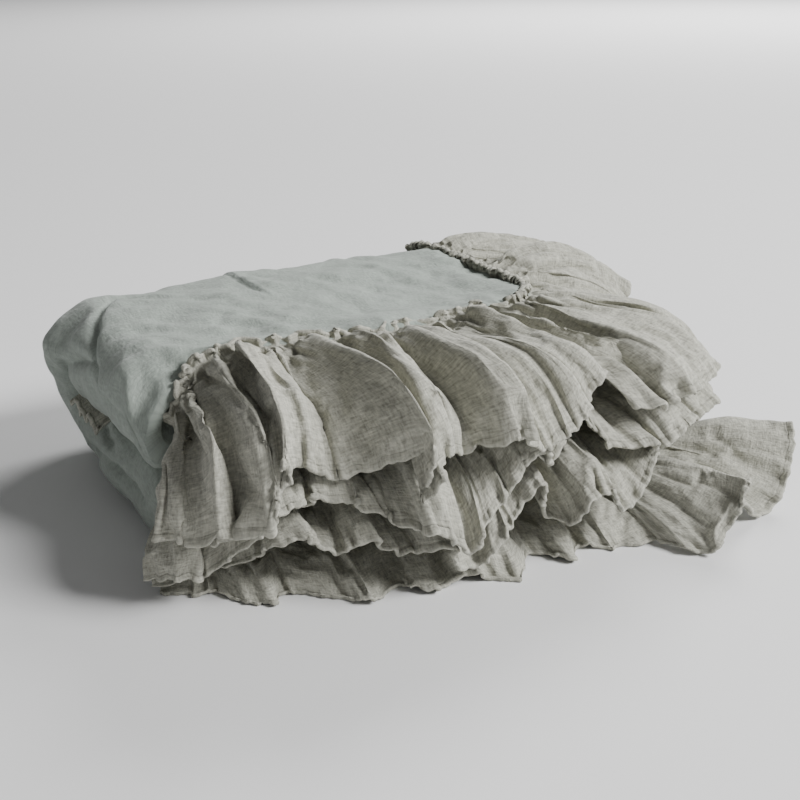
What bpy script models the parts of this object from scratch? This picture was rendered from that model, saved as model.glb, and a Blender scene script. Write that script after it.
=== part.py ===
"""Baby blanket: a softly filled linen panel folded in four, with a gathered linen flounce.

The panel is one thick sheet. Its right half is turned over along the left fold, then the pair is
turned over along the back fold, so four layers lie one above the other. Both open sides (front and
right) show the sewn edges, and from each layer's edge hangs one tier of the flounce.
Lengths are metres. x runs to the right along the front edge, y to the back, z up.
"""
import math

import bmesh
import bpy
import numpy as np

# panel
LOFT = 0.036            # thickness of one filled layer
RIM = 0.36              # share of that thickness left at the sewn edge
PITCH = 0.041           # height from one layer to the next
FOLD_X = 0.040          # centre of the left fold
FOLD_Y = 0.2205         # centre of the back fold
RIGHT_X = 0.395         # right edge
CORNER = 0.060          # plan radius of the four sewn corners
MID_Z = 0.0795          # middle of the pile
CROWN = 0.007           # rise of the top towards its middle
DROP = 0.008            # middle of a sewn edge below its seam
# flounce
SHEET = 0.0016          # cloth thickness, with its gathers
LIP = 0.008             # gathered edge standing above the seam
GAP = 0.0013            # flounce middle to the panel edge
TIER_GAP = 0.0046       # least distance from one tier out to the next
COLUMNS = 2             # mesh columns from one fold to the next
ROWS = 5                # mesh rows from the seam to the hem
END_FRONT = 0.125       # front of the tucked end
END_SPAN = 0.085        # its run along the left fold
END_DEPTH = 0.036       # how far it reaches out from the fold's centre
END_WAVE = 0.009        # height of its waves
END_STEPS = 14          # mesh columns along it

R_LEFT = PITCH / 2
R_BACK = PITCH
REACH_A = RIGHT_X - FOLD_X + math.pi / 2 * R_LEFT
REACH_B = FOLD_Y + math.pi / 2 * R_BACK

# seam of each tier along the open sides: place, stand-out from the panel outline, height
SEAMS = {
    1: [(-0.078, 0.000, 0.100), (-0.030, -0.020, 0.135), (0.000, -0.030, 0.152),
        (0.040, -0.030, 0.160), (0.090, -0.015, 0.162), (0.148, -0.001, 0.162),
        (0.275, -0.003, 0.165), (0.375, 0.000, 0.165), (0.525, 0.000, 0.164),
        (0.570, 0.000, 0.156)],
    2: [(-0.078, 0.000, 0.070), (-0.030, -0.008, 0.095), (0.000, -0.010, 0.106),
        (0.040, -0.008, 0.114), (0.100, 0.000, 0.120), (0.275, 0.005, 0.122),
        (0.375, 0.005, 0.122), (0.530, 0.000, 0.118)],
    3: [(-0.078, 0.020, 0.045), (-0.030, 0.006, 0.060), (0.000, 0.000, 0.068),
        (0.040, 0.002, 0.075), (0.100, 0.005, 0.079), (0.220, 0.010, 0.080),
        (0.290, 0.030, 0.080), (0.340, 0.030, 0.080), (0.400, 0.012, 0.080),
        (0.530, 0.005, 0.080)],
    4: [(-0.078, 0.022, 0.022), (-0.030, 0.006, 0.026), (0.000, 0.004, 0.030),
        (0.100, 0.008, 0.034), (0.200, 0.015, 0.036), (0.260, 0.035, 0.036),
        (0.300, 0.065, 0.036), (0.330, 0.065, 0.036), (0.380, 0.030, 0.036),
        (0.430, 0.012, 0.036), (0.530, 0.005, 0.036)],
}

# one row per fold of a tier, crests and valleys in turn:
# place at the seam, place at the hem, stand-out of the hem, height of the hem, bulge on the way
TIERS = {
    1: [(-0.078, -0.078, 0.044, 0.034, 0.010), (-0.062, -0.062, 0.048, 0.034, 0.016),
        (-0.050, -0.050, 0.050, 0.036, 0.020), (-0.036, -0.037, 0.034, 0.032, 0.016),
        (-0.022, -0.026, 0.036, 0.034, 0.022), (-0.006, -0.016, 0.020, 0.030, 0.004),
        (0.012, -0.010, 0.040, 0.042, 0.020), (0.024, -0.002, 0.066, 0.068, 0.006),
        (0.036, 0.008, 0.090, 0.100, 0.026), (0.050, 0.026, 0.097, 0.104, 0.018),
        (0.060, 0.054, 0.096, 0.090, 0.004), (0.080, 0.088, 0.110, 0.096, 0.024),
        (0.096, 0.100, 0.098, 0.068, 0.002), (0.106, 0.108, 0.105, 0.078, 0.006),
        (0.122, 0.122, 0.118, 0.100, 0.026), (0.148, 0.142, 0.124, 0.105, 0.012),
        (0.166, 0.164, 0.124, 0.102, 0.014), (0.190, 0.198, 0.104, 0.080, -0.004),
        (0.202, 0.228, 0.102, 0.088, 0.004), (0.214, 0.248, 0.110, 0.106, 0.016),
        (0.228, 0.270, 0.117, 0.132, 0.018), (0.238, 0.280, 0.106, 0.124, 0.006),
        (0.248, 0.290, 0.108, 0.137, 0.018), (0.264, 0.296, 0.124, 0.104, 0.004),
        (0.280, 0.299, 0.135, 0.100, 0.008), (0.294, 0.304, 0.150, 0.109, 0.016),
        (0.308, 0.314, 0.148, 0.099, 0.006), (0.322, 0.327, 0.150, 0.096, 0.012),
        (0.338, 0.339, 0.154, 0.086, 0.004), (0.354, 0.354, 0.146, 0.092, 0.010),
        (0.384, 0.384, 0.154, 0.094, 0.006), (0.398, 0.397, 0.165, 0.116, 0.012),
        (0.412, 0.412, 0.165, 0.130, 0.014), (0.430, 0.430, 0.144, 0.144, 0.014),
        (0.450, 0.450, 0.122, 0.140, 0.004), (0.470, 0.472, 0.122, 0.116, 0.000),
        (0.490, 0.490, 0.136, 0.134, 0.004), (0.505, 0.505, 0.142, 0.154, 0.012),
        (0.522, 0.523, 0.130, 0.160, 0.012), (0.538, 0.540, 0.108, 0.158, 0.008),
        (0.570, 0.571, 0.094, 0.114, 0.004)],
    2: [(-0.070, -0.070, 0.048, 0.016, 0.008), (-0.050, -0.050, 0.052, 0.020, 0.012),
        (-0.030, -0.030, 0.048, 0.018, 0.002), (-0.012, -0.014, 0.055, 0.035, 0.006),
        (0.002, 0.000, 0.080, 0.060, 0.010), (0.014, 0.012, 0.100, 0.078, 0.012),
        (0.030, 0.030, 0.104, 0.082, 0.014), (0.046, 0.044, 0.110, 0.084, 0.014),
        (0.062, 0.062, 0.114, 0.076, 0.010), (0.080, 0.084, 0.114, 0.060, 0.004),
        (0.100, 0.102, 0.112, 0.046, 0.002), (0.116, 0.118, 0.116, 0.044, 0.006),
        (0.136, 0.142, 0.110, 0.028, 0.000), (0.150, 0.154, 0.120, 0.042, 0.002),
        (0.166, 0.172, 0.132, 0.064, 0.008), (0.180, 0.188, 0.138, 0.084, 0.014),
        (0.194, 0.204, 0.134, 0.090, 0.012), (0.212, 0.222, 0.118, 0.074, 0.004),
        (0.232, 0.246, 0.106, 0.086, 0.006), (0.250, 0.262, 0.110, 0.094, 0.012),
        (0.264, 0.275, 0.132, 0.090, 0.012), (0.278, 0.285, 0.142, 0.076, 0.004),
        (0.290, 0.292, 0.148, 0.072, 0.004), (0.302, 0.303, 0.152, 0.080, 0.012),
        (0.316, 0.317, 0.154, 0.074, 0.004), (0.330, 0.330, 0.162, 0.072, 0.012),
        (0.346, 0.346, 0.150, 0.062, 0.002), (0.360, 0.360, 0.142, 0.080, 0.012),
        (0.376, 0.376, 0.124, 0.066, 0.002), (0.400, 0.400, 0.138, 0.090, 0.012),
        (0.440, 0.440, 0.124, 0.068, 0.002), (0.485, 0.485, 0.136, 0.088, 0.012),
        (0.530, 0.530, 0.116, 0.066, 0.004)],
    3: [(-0.066, -0.066, 0.052, 0.010, 0.006), (-0.046, -0.046, 0.052, 0.014, 0.004),
        (-0.028, -0.028, 0.056, 0.018, 0.004), (-0.012, -0.012, 0.072, 0.028, 0.006),
        (0.002, 0.002, 0.092, 0.044, 0.008), (0.024, 0.024, 0.112, 0.058, 0.012),
        (0.040, 0.042, 0.114, 0.044, 0.006), (0.056, 0.054, 0.116, 0.038, 0.004),
        (0.072, 0.074, 0.124, 0.046, 0.010), (0.088, 0.092, 0.126, 0.032, 0.006),
        (0.104, 0.108, 0.130, 0.028, 0.004), (0.122, 0.122, 0.136, 0.030, 0.008),
        (0.146, 0.150, 0.128, 0.014, 0.002), (0.168, 0.174, 0.136, 0.036, 0.008),
        (0.188, 0.196, 0.146, 0.060, 0.012), (0.206, 0.214, 0.146, 0.068, 0.012),
        (0.220, 0.224, 0.150, 0.040, 0.002), (0.231, 0.234, 0.162, 0.035, 0.004),
        (0.240, 0.244, 0.168, 0.056, 0.012), (0.252, 0.254, 0.170, 0.067, 0.014),
        (0.264, 0.265, 0.173, 0.064, 0.010), (0.274, 0.275, 0.178, 0.045, 0.004),
        (0.292, 0.291, 0.166, 0.054, 0.008), (0.302, 0.301, 0.156, 0.061, 0.010),
        (0.314, 0.314, 0.158, 0.054, 0.004), (0.326, 0.326, 0.168, 0.061, 0.012),
        (0.338, 0.337, 0.170, 0.047, 0.004), (0.352, 0.352, 0.148, 0.044, 0.010),
        (0.372, 0.372, 0.140, 0.028, 0.004), (0.398, 0.398, 0.146, 0.046, 0.012),
        (0.440, 0.440, 0.130, 0.030, 0.002), (0.485, 0.485, 0.142, 0.048, 0.012),
        (0.530, 0.530, 0.124, 0.030, 0.004)],
    4: [(-0.062, -0.062, 0.060, 0.002, 0.004), (-0.040, -0.040, 0.062, 0.002, 0.004),
        (-0.024, -0.024, 0.062, 0.002, 0.002), (-0.010, -0.010, 0.080, 0.002, 0.006),
        (0.004, 0.004, 0.096, 0.002, 0.008), (0.022, 0.022, 0.092, 0.002, 0.004),
        (0.052, 0.052, 0.114, 0.002, 0.008), (0.073, 0.073, 0.126, 0.002, 0.009),
        (0.100, 0.100, 0.126, 0.002, 0.004), (0.118, 0.118, 0.138, 0.002, 0.010),
        (0.150, 0.150, 0.140, 0.002, 0.004), (0.184, 0.184, 0.160, 0.002, 0.012),
        (0.210, 0.212, 0.138, 0.002, 0.002), (0.236, 0.238, 0.157, 0.002, 0.010),
        (0.256, 0.258, 0.150, 0.002, 0.002), (0.274, 0.276, 0.160, 0.002, 0.010),
        (0.286, 0.286, 0.176, 0.002, 0.004), (0.292, 0.291, 0.212, 0.002, 0.016),
        (0.301, 0.300, 0.214, 0.050, 0.014), (0.308, 0.307, 0.212, 0.020, 0.002),
        (0.314, 0.312, 0.224, 0.002, 0.004), (0.320, 0.319, 0.234, 0.024, 0.012),
        (0.328, 0.328, 0.232, 0.062, 0.014), (0.340, 0.341, 0.204, 0.020, 0.002),
        (0.354, 0.354, 0.190, 0.002, 0.012), (0.372, 0.372, 0.164, 0.002, 0.004),
        (0.396, 0.396, 0.160, 0.002, 0.012), (0.440, 0.440, 0.148, 0.002, 0.002),
        (0.485, 0.485, 0.156, 0.002, 0.012), (0.530, 0.530, 0.140, 0.002, 0.004)],
}


def smooth(t):
    t = min(1.0, max(0.0, t))
    return t * t * (3 - 2 * t)


def seam(tier, at):
    """stand-out and height of a tier's seam at a place along the open sides"""
    rows = np.array(SEAMS[tier])
    return float(np.interp(at, rows[:, 0], rows[:, 1])), float(np.interp(at, rows[:, 0], rows[:, 2]))


def place(at, out, height):
    """a point seen from the open sides: place along them, stand-out from the outline, height"""
    if at < 0:
        x, y, turn = 0.06, CORNER, -90 - 40 * min(1.0, -at / 0.078)
    elif at < 0.275:
        x, y, turn = 0.06 + at, CORNER, -90.0
    elif at < 0.375:
        x, y, turn = RIGHT_X - CORNER, CORNER, -90 + 900 * (at - 0.275)
    elif at < 0.545:
        x, y, turn = RIGHT_X - CORNER, CORNER + at - 0.375, 0.0
    else:
        x, y, turn = RIGHT_X - CORNER, 0.23, 800 * (at - 0.545)
    r, turn = CORNER + out, math.radians(turn)
    return np.array((x + r * math.cos(turn), y + r * math.sin(turn), height))


def fold(run, radius):
    """a path folded back on itself at 0: distance from the fold, height, how far it has turned"""
    arc = math.pi / 2 * radius
    if run >= arc:
        return run - arc, radius, 0.0
    if run <= -arc:
        return -run - arc, -radius, math.pi
    turn = math.pi / 2 - run / radius
    return -radius * math.sin(turn), radius * math.cos(turn), turn


def crowned(x, y, z):
    """the pile swells a little towards its middle"""
    across, along = min(1, max(0, x / 0.42)), min(1, max(0, (y + 0.03) / 0.36))
    return x, y, z + CROWN * math.sin(math.pi * across) * math.sin(math.pi * along) * z / 0.16


def panel_point(a, b, w):
    """a, b measured on the opened sheet from its two folds, w from -1 to 1 through its thickness"""
    edge = min(REACH_A - abs(a), REACH_B - abs(b))
    half = LOFT / 2 * (RIM + (1 - RIM) * math.sin(math.pi / 2 * min(1.0, edge / 0.055)))
    run, high, turn = fold(a, R_LEFT)
    x = FOLD_X + run - half * w * math.sin(turn)
    level = high + half * w * math.cos(turn)
    run, middle, over = fold(b, R_BACK)
    y = FOLD_Y - run + level * math.sin(over)
    z = MID_Z + middle + level * math.cos(over)
    # the sewn corners are rounded in plan
    cx, cy = x - (RIGHT_X - CORNER), CORNER - y
    if cx > 0 and cy > 0:
        u, v = cx / CORNER, cy / CORNER
        cx, cy = cx * math.sqrt(max(0.0, 1 - v * v / 2)), cy * math.sqrt(max(0.0, 1 - u * u / 2))
        x, y = RIGHT_X - CORNER + cx, CORNER - cy
    # sewn edges go to where the flounce seams are
    if cy > 0 and cx > 0:
        r = math.hypot(cx, cy)
        at, depth, dx, dy = 0.275 + 0.1 * (1 - math.atan2(cy, cx) / (math.pi / 2)), CORNER - r, cx, -cy
        dx, dy = dx / max(r, 1e-9), dy / max(r, 1e-9)
    elif cy > 0:
        at, depth, dx, dy = x - 0.06, y, 0.0, -1.0
    elif cx > 0:
        at, depth, dx, dy = 0.375 + y - CORNER, RIGHT_X - x, 1.0, 0.0
    else:
        at, depth, dx, dy = 0.1, 1.0, 0.0, 0.0
    upper = min(1.0, max(0.0, (high / R_LEFT + 1) / 2))
    under = over / math.pi
    share = ((1, (1 - under) * upper), (2, (1 - under) * (1 - upper)),
             (3, under * (1 - upper)), (4, under * upper))
    out = sum(s * seam(k, at)[0] for k, s in share)
    lift = sum(s * (seam(k, at)[1] - DROP - MID_Z - R_LEFT * (5 - 2 * k)) for k, s in share)
    lift *= 1 - math.sin(over)
    near = 1 - smooth(depth / CORNER)
    pull = out - GAP - 0.008 * (1 - smooth(x / 0.06))
    x, y = x + dx * pull * near, y + dy * pull * near
    return crowned(x, y, z + lift * near)


def mesh_lines(reach, arc, shares):
    """the mesh lines from one sewn edge over the fold to the other"""
    half = [arc * i / 3 for i in range(4)] + [arc + (reach - arc) * s for s in shares]
    return [-s for s in reversed(half)] + half[1:]


def closed_sheet(name, top, under, material):
    """a closed solid between two matching grids of points"""
    n, m = len(top), len(top[0])
    mesh = bmesh.new()
    sides = [[[mesh.verts.new(p) for p in row] for row in grid] for grid in (top, under)]
    for side in sides:
        for i in range(n - 1):
            for j in range(m - 1):
                mesh.faces.new((side[i][j], side[i + 1][j], side[i + 1][j + 1], side[i][j + 1]))
    ring = [(i, 0) for i in range(n)] + [(n - 1, j) for j in range(1, m)]
    ring += [(i, m - 1) for i in range(n - 2, -1, -1)] + [(0, j) for j in range(m - 2, 0, -1)]
    for (i, j), (k, h) in zip(ring, ring[1:] + ring[:1]):
        mesh.faces.new((sides[0][i][j], sides[0][k][h], sides[1][k][h], sides[1][i][j]))
    bmesh.ops.recalc_face_normals(mesh, faces=mesh.faces)
    data = bpy.data.meshes.new(name)
    mesh.to_mesh(data)
    mesh.free()
    data.materials.append(material)
    obj = bpy.data.objects.new(name, data)
    collection.objects.link(obj)
    return obj


def panel(material):
    along = mesh_lines(REACH_A, math.pi / 2 * R_LEFT,
                       (0.085, 0.169, 0.31, 0.473, 0.676, 0.831, 0.92, 1.0))
    across = mesh_lines(REACH_B, math.pi / 2 * R_BACK,
                        (0.18, 0.34, 0.478, 0.615, 0.728, 0.84, 0.93, 1.0))
    grids = [[[panel_point(a, b, w) for b in across] for a in along] for w in (1, -1)]
    return closed_sheet("panel", grids[0], grids[1], material)


def ribs(tier):
    """the tier as ribs from lip to hem, each a list of (place, angle from upright, reach)"""
    rows, fine = TIERS[tier], []
    for one, two in zip(rows, rows[1:]):
        for i in range(COLUMNS):
            t = i / COLUMNS
            s = 0.5 - 0.5 * math.cos(math.pi * t)
            fine.append([a + (b - a) * (t if k < 2 else s) for k, (a, b) in enumerate(zip(one, two))])
    fine.append(rows[-1])
    result = []
    for at, to, out, height, bulge in fine:
        near, high = seam(tier, at)
        start = math.atan2(near + CORNER, high), math.hypot(near + CORNER, high)
        end = math.atan2(out + CORNER, height), math.hypot(out + CORNER, height)
        top = near + 0.001, high + LIP
        line = [(at, math.atan2(top[0] + CORNER, top[1]), math.hypot(top[0] + CORNER, top[1]))]
        for j in range(ROWS + 1):
            t = j / ROWS
            reach = start[1] + (end[1] - start[1]) * t + bulge * math.sin(math.pi * t) ** 0.8
            line.append((at + (to - at) * t ** 1.2, start[0] + (end[0] - start[0]) * t, reach))
        result.append(line)
    return result


def reach_of(tier, at, angle):
    """how far out an inner tier stands at a place and angle, or nothing where it does not go"""
    angles, reaches = [], []
    for j in range(len(tier[0])):
        places = [line[j][0] for line in tier]
        if at < places[0] - 0.02 or at > places[-1] + 0.02:
            return None
        angles.append(np.interp(at, places, [line[j][1] for line in tier]))
        reaches.append(np.interp(at, places, [line[j][2] for line in tier]))
    if angle > angles[-1] + 0.04 or angle < angles[0] - 0.03:
        return None
    return float(np.interp(angle, angles, reaches))


def settle(lines, inner):
    """keeps a tier clear of the tiers it lies on"""
    for line in lines:
        for j, (at, angle, reach) in enumerate(line):
            for other in inner if j > 1 else ():
                for step, tilt in ((0, 0), (-0.006, 0), (0.006, 0), (0, -0.05), (0, 0.05)):
                    least = reach_of(other, at + step, angle + tilt)
                    if least is not None:
                        reach = max(reach, least + TIER_GAP)
            line[j] = at, angle, reach
    return lines


def flounce(tier, lines, material):
    points = np.array([[place(at, r * math.sin(t) - CORNER, r * math.cos(t)) for at, t, r in line]
                       for line in lines])
    normal = np.cross(np.gradient(points, axis=0), np.gradient(points, axis=1))
    normal /= np.linalg.norm(normal, axis=2, keepdims=True)
    points[:, :, 2] = np.maximum(points[:, :, 2], SHEET / 2 + 0.0004)
    top, under = points + normal * SHEET / 2, points - normal * SHEET / 2
    return closed_sheet(f"flounce_{tier}", top.tolist(), under.tolist(), material)


def tucked_end(material):
    """the flounce's end, caught between the folded pairs and showing in the mouth of the left fold"""
    points = []
    for i in range(END_STEPS + 1):
        along = i / END_STEPS
        line = []
        for j in range(5):
            t = j / 4
            wave = END_WAVE * t ** 1.5 * math.sin(math.pi * i / 2)
            ease = 0.004 * math.sin(math.pi * along)
            line.append(crowned(FOLD_X - (END_DEPTH + ease) * t, END_FRONT + END_SPAN * along,
                                MID_Z - 0.0013 + wave))
        points.append(line)
    points = np.array(points)
    normal = np.cross(np.gradient(points, axis=0), np.gradient(points, axis=1))
    normal /= np.linalg.norm(normal, axis=2, keepdims=True)
    top, under = points + normal * SHEET / 2, points - normal * SHEET / 2
    return closed_sheet("flounce_end", top.tolist(), under.tolist(), material)


def cloth(name, color, roughness):
    material = bpy.data.materials.new(name)
    material.use_nodes = True
    shader = material.node_tree.nodes["Principled BSDF"]
    shader.inputs["Base Color"].default_value = (*color, 1)
    shader.inputs["Roughness"].default_value = roughness
    return material


for old in list(bpy.data.objects):
    bpy.data.objects.remove(old)
collection = bpy.data.collections.new("baby_blanket")
bpy.context.scene.collection.children.link(collection)

sage = cloth("panel_linen", (0.36, 0.40, 0.36), 0.9)
natural = cloth("flounce_linen", (0.38, 0.37, 0.30), 0.95)
parts = [panel(sage)]
inner = []
for number in (4, 3, 2, 1):
    shape = settle(ribs(number), inner)
    inner.append(shape)
    parts.append(flounce(number, shape, natural))
parts.append(tucked_end(natural))

# the part stands centred on its origin
spots = np.array([v.co for part in parts for v in part.data.vertices])
centre = (spots.min(axis=0) + spots.max(axis=0)) / 2
for part in parts:
    for vertex in part.data.vertices:
        vertex.co.x -= centre[0]
        vertex.co.y -= centre[1]
        vertex.co.z = max(vertex.co.z, 0.0)
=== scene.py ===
import math

import bpy
import numpy as np
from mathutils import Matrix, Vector


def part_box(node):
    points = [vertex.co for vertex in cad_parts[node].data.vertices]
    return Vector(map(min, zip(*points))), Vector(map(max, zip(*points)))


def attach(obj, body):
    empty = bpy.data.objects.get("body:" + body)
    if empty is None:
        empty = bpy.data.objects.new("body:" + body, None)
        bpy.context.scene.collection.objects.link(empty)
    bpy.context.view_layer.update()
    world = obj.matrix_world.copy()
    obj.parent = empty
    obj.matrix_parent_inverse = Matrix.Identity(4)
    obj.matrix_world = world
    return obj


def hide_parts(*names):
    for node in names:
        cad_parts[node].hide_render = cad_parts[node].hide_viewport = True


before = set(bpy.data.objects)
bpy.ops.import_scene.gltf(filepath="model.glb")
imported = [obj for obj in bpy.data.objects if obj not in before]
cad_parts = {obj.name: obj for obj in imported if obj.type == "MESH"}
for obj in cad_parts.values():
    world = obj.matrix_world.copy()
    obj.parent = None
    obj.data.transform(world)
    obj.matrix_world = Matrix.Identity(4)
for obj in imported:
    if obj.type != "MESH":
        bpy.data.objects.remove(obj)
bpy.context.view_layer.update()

# ---------------------------------------------------------------- sizes, as the CAD model has them
LOFT = 0.036            # thickness of one filled layer
RIM = 0.36              # share of that thickness left at the sewn edge
RIM_RUN = 0.055         # distance from the sewn edge to the full thickness
PITCH = 0.041           # from one layer to the next
FOLD_X = 0.040          # centre of the left fold
FOLD_Y = 0.2205         # centre of the back fold
RIGHT_X = 0.395         # right edge
CORNER = 0.060          # plan radius of the sewn corners
MID_Z = 0.0795          # height of the middle of the pile
POINT = 0.011           # how far the pointed corner of the upper left fold sticks out
POINT_AT = 0.035        # its place along the fold, from the back fold
POINT_SPREAD = (0.013, 0.034)           # its spread round the fold and along it
SET_BACK = 0.009        # how far the lower left fold is set back
SET_BACK_SPREAD = (0.030, 0.06)         # spread round the fold, and the length over which it grows
CROWN = 0.007           # rise of the pile's middle
PILE_FRONT = -0.03      # front of what the crown spreads over
PILE = (0.42, 0.36, 0.16)               # and its width, depth and height
DROP = 0.008            # middle of a sewn edge below its seam
EDGE_GAP = 0.0013       # from the seam's line in to the panel's edge
LEFT_PULL = 0.008       # how far the front edge draws in at its left end
R_LEFT = PITCH / 2
R_BACK = PITCH
REACH_A = RIGHT_X - FOLD_X + math.pi / 2 * R_LEFT
REACH_B = FOLD_Y + math.pi / 2 * R_BACK

# the line along the open sides that the tiers are placed by: it starts at START_X on the front edge
START_X = 0.060
LEFT_RUN, LEFT_TURN = 0.078, 40.0       # before its start it turns back by so many degrees
FRONT_RUN = 0.275                       # straight along the front
TURN_RUN, TURN_RATE = 0.100, 900.0      # its length round the right corner, in degrees per metre
SIDE_RUN, BACK_RATE = 0.170, 800.0      # straight along the right side, and round the far corner
SIDE_FROM = FRONT_RUN + TURN_RUN
SIDE_TO = SIDE_FROM + SIDE_RUN

low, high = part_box("panel")
ORIGIN = np.array([FOLD_X - R_LEFT - LOFT / 2 - low.x, FOLD_Y + R_BACK + R_LEFT + LOFT / 2 - high.y, 0.0])

# lines pressed into the panel, as places (a, b) on the opened sheet measured from its two folds, with
# their depth, half width, and how far the cloth to their right stands up over them
CREASES = {
    "tuck": ([(0.163, 0.020), (0.160, 0.085), (0.161, 0.115), (0.168, 0.152)], 0.0012, 0.0020, 0.0026),
    "wrap": ([(0.130, 0.056), (0.096, 0.074), (0.069, 0.069), (0.045, 0.063), (0.029, 0.090),
              (0.018, 0.130), (0.011, 0.149), (0.006, 0.168), (-0.003, 0.190), (-0.007, 0.262),
              (-0.008, 0.300)], 0.0050, 0.0032, 0.0030),
    "slit": ([(-0.022, 0.000), (-0.010, 0.060), (0.002, 0.115), (0.010, 0.165)], 0.0100, 0.0036, 0.0),
    "end_1": ([(0.006, -0.020), (0.003, -0.090), (-0.004, -0.170), (-0.002, -0.290)],
              0.0060, 0.0028, 0.002),
    "end_2": ([(-0.012, -0.060), (-0.014, -0.120), (-0.009, -0.190)], 0.0050, 0.0028, 0.0),
    "end_3": ([(0.018, -0.010), (0.015, -0.120), (0.020, -0.290)], 0.0050, 0.0030, 0.002),
    "dent": ([(0.060, 0.205), (0.095, 0.190), (0.120, 0.160)], 0.0016, 0.0090, 0.0006),
    "fan": ([(0.215, 0.245), (0.225, 0.205), (0.215, 0.160)], 0.0014, 0.0080, 0.0006),
    "slack": ([(0.290, 0.120), (0.262, 0.170), (0.275, 0.225)], 0.0014, 0.0085, 0.0005),
}

# uneven cloth: cell along the cloth, cell down it or across it, height
RUMPLES = {
    "dents": (0.060, 0.050, 0.0038), "slanting dents": (0.034, 0.019, 0.0021),
    "small dents": (0.012, 0.015, 0.0008),
    "end folds": (0.0105, 0.055, 0.0028), "end crumples": (0.006, 0.020, 0.0008),
    "front puckers": (0.0060, 0.030, 0.0014), "side puckers": (0.030, 0.0060, 0.0014),
    "broad": (0.026, 0.030, 0.0015), "fine": (0.012, 0.015, 0.0010), "streak": (0.010, 0.11, 0.0020),
}
PUCKER_RUN = 0.022      # how far the puckers run in from a gathered seam
END_RUN = 0.034         # how far the left end's folds run in from the left fold
FILLED_AT, FILLED_WIDTH = -0.021, 0.010     # cloth that fills the hollow below the upper left fold
FILLED_OUT = 0.0075                         # and how far it stands out

# flounce cloth
DEPTH = 0.155           # seam to hem
HEADING = 0.010         # gathered edge above the seam
CURL_PACE = 0.0150      # from one of its curls to the next along the front
BEAD_PACE = 0.0088      # and from bead to bead along the side
BEADS_FROM, BEADS_OVER = 0.27, 0.05     # where curls start to give way to beads, and over what length
ROLL_REACH = 0.0046     # middle of its roll, back from the seam
ROLL_HEIGHT = 0.0042    # and off the cloth
HEM = 0.0065            # width of the turned hem
FLOAT = 0.0030          # least distance from one tier out to the next
GROW = {1: 0.32, 2: 0.30, 3: 0.28, 4: 0.20}   # how much larger the loose cloth is than the drawn shape
HOLD = 0.13             # how firmly it is held near that shape
LOOSE_FRAMES = 14       # frames that the loose cloth is given to settle
BENDING = 0.25          # its resistance to bending
FLOOR_GAP = 0.0022      # least height of the flounce
END_LENGTH = 0.041      # length of the bit of flounce that is caught between the folds
END_WAVE = (0.0150, 0.0052)             # spacing and height of its waves
END_SMALL = (0.0065, 0.0014)            # and of its small gathers
END_SWAY = 0.0022       # how far its waves lean along the fold
END_LIFT = 0.007        # its start above the middle of its solid
END_DROOP = 0.012       # and how far its edge hangs down
ABOVE_HEADING = 1.8     # length of the heading's cloth, in heights of the heading
GATHERS = {             # spacing along the cloth, height
    "pleat": (0.021, 0.0058), "wide": (0.045, 0.0030), "small": (0.0105, 0.0027),
    "frill": (0.024, 0.0017), "fine frill": (0.0085, 0.0011), "hem pull": (0.016, 0.0010),
}
COARSE = {1: (300, 38), 2: (240, 36), 3: (240, 36), 4: (230, 36)}   # columns and rows that are simulated
DETAIL = {4: (520, 60), 3: (560, 64), 2: (640, 70), 1: (860, 84)}   # columns and rows of the finished cloth

# where each tier is sewn on: place along the open sides, stand-out from the panel's outline, height
SEAMS = {
    1: [(-0.078, -0.012, 0.100), (-0.030, -0.022, 0.135), (0.000, -0.030, 0.152),
        (0.040, -0.030, 0.160), (0.090, -0.015, 0.162), (0.148, -0.001, 0.162),
        (0.275, -0.003, 0.165), (0.375, 0.000, 0.165), (0.525, 0.000, 0.164),
        (0.570, 0.000, 0.156)],
    2: [(-0.078, 0.000, 0.070), (-0.030, -0.008, 0.095), (0.000, -0.010, 0.106),
        (0.040, -0.008, 0.114), (0.100, 0.000, 0.120), (0.275, 0.005, 0.122),
        (0.375, 0.005, 0.122), (0.530, 0.000, 0.118)],
    3: [(-0.078, 0.020, 0.045), (-0.030, 0.006, 0.060), (0.000, 0.000, 0.068),
        (0.040, 0.002, 0.075), (0.100, 0.005, 0.079), (0.220, 0.010, 0.080),
        (0.290, 0.030, 0.080), (0.340, 0.030, 0.080), (0.400, 0.012, 0.080),
        (0.530, 0.005, 0.080)],
    4: [(-0.078, 0.022, 0.022), (-0.030, 0.006, 0.026), (0.000, 0.004, 0.030),
        (0.100, 0.008, 0.034), (0.200, 0.015, 0.036), (0.260, 0.035, 0.036),
        (0.300, 0.065, 0.036), (0.330, 0.065, 0.036), (0.380, 0.030, 0.036),
        (0.430, 0.012, 0.036), (0.530, 0.005, 0.036)],
}

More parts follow.
